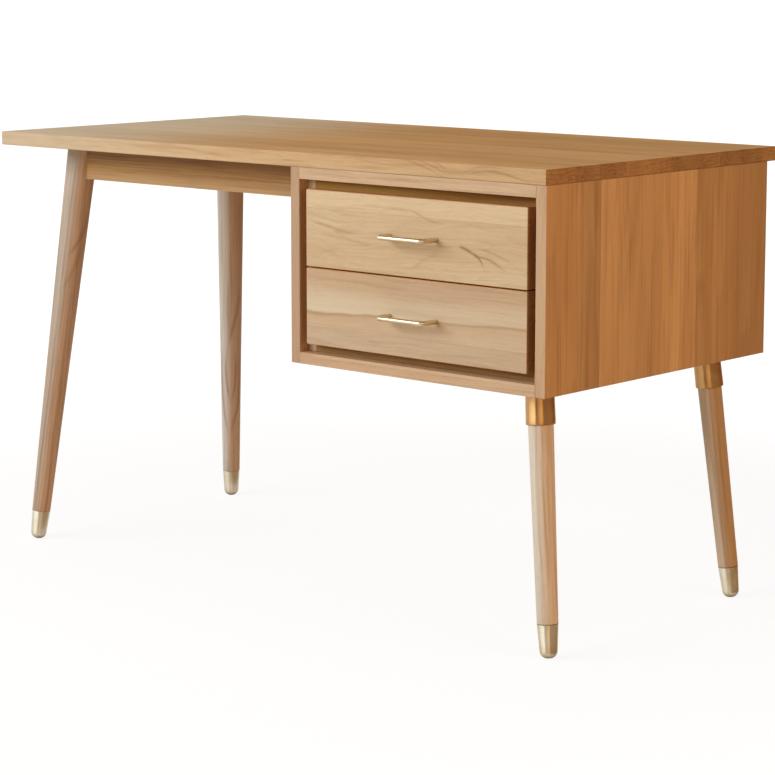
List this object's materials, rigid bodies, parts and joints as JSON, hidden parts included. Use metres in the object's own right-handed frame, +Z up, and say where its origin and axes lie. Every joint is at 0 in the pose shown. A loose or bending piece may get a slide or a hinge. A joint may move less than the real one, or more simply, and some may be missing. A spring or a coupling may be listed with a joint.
{
  "type": "writing desk",
  "caption": "Writing desk with a thin wooden top on splayed turned legs with brass feet, and a drawer cabinet with brass rod pulls hung under its right half.",
  "frame": {"origin": "on the floor under the middle of the desk's box", "axes": "+X along the length towards the drawer cabinet, -Y towards the sitter and the drawer fronts, +Z up"},
  "size_m": [1.247, 0.6585, 0.76],
  "materials": {
    "top_wood": "satin clear lacquer",
    "front_wood": "satin clear lacquer",
    "case_wood": "satin clear lacquer",
    "leg_wood": "satin clear lacquer",
    "plywood": "plain plywood",
    "brass": "satin brushed",
    "steel": "zinc plated"
  },
  "bodies": {
    "desk": {"cabinet_back": "plywood", "cabinet_bottom": "case_wood", "cabinet_left_side": "case_wood", "cabinet_right_side": "case_wood", "cabinet_top": "case_wood", "cleat_screws": "steel", "collar_front_right": "brass", "collar_rear_right": "brass", "desktop": "top_wood", "foot_cap_front_left": "brass", "foot_cap_front_right": "brass", "foot_cap_rear_left": "brass", "foot_cap_rear_right": "brass", "frame_rail_bottom": "case_wood", "frame_rail_top": "case_wood", "frame_stile_left": "case_wood", "frame_stile_right": "case_wood", "front_cleat": "case_wood", "front_rail": "case_wood", "hanger_bolts": "steel", "left_rail": "case_wood", "leg_front_left": "leg_wood", "leg_front_right": "leg_wood", "leg_rear_left": "leg_wood", "leg_rear_right": "leg_wood", "lower_slide_outer_left": "steel", "lower_slide_outer_right": "steel", "rear_cleat": "case_wood", "rear_post_left": "case_wood", "rear_post_right": "case_wood", "rear_rail": "case_wood", "threaded_inserts": "steel", "top_screws": "steel", "upper_slide_outer_left": "steel", "upper_slide_outer_right": "steel"},
    "lower_drawer": {"lower_drawer_back": "case_wood", "lower_drawer_bottom": "plywood", "lower_drawer_box_front": "case_wood", "lower_drawer_front": "front_wood", "lower_drawer_side_left": "case_wood", "lower_drawer_side_right": "case_wood", "lower_pull": "brass", "lower_pull_screws": "steel", "lower_slide_inner_left": "steel", "lower_slide_inner_right": "steel"},
    "lower_slide_middle": {"lower_slide_middle_left": "steel", "lower_slide_middle_right": "steel"},
    "upper_drawer": {"upper_drawer_back": "case_wood", "upper_drawer_bottom": "plywood", "upper_drawer_box_front": "case_wood", "upper_drawer_front": "front_wood", "upper_drawer_side_left": "case_wood", "upper_drawer_side_right": "case_wood", "upper_pull": "brass", "upper_pull_screws": "steel", "upper_slide_inner_left": "steel", "upper_slide_inner_right": "steel"},
    "upper_slide_middle": {"upper_slide_middle_left": "steel", "upper_slide_middle_right": "steel"}
  },
  "joints": [
    {"name": "upper_drawer_slide", "type": "slide", "parent": "desk", "child": "upper_drawer", "axis": [0, -1, 0], "range_m": [0, 0.46]},
    {"name": "upper_middle_slide", "type": "slide", "parent": "desk", "child": "upper_slide_middle", "axis": [0, -1, 0], "range_m": [0, 0.23]},
    {"name": "lower_drawer_slide", "type": "slide", "parent": "desk", "child": "lower_drawer", "axis": [0, -1, 0], "range_m": [0, 0.46]},
    {"name": "lower_middle_slide", "type": "slide", "parent": "desk", "child": "lower_slide_middle", "axis": [0, -1, 0], "range_m": [0, 0.23]}
  ],
  "couplings": [
    {"joint": "upper_middle_slide", "follows": "upper_drawer_slide", "ratio": 0.5},
    {"joint": "lower_middle_slide", "follows": "lower_drawer_slide", "ratio": 0.5}
  ]
}
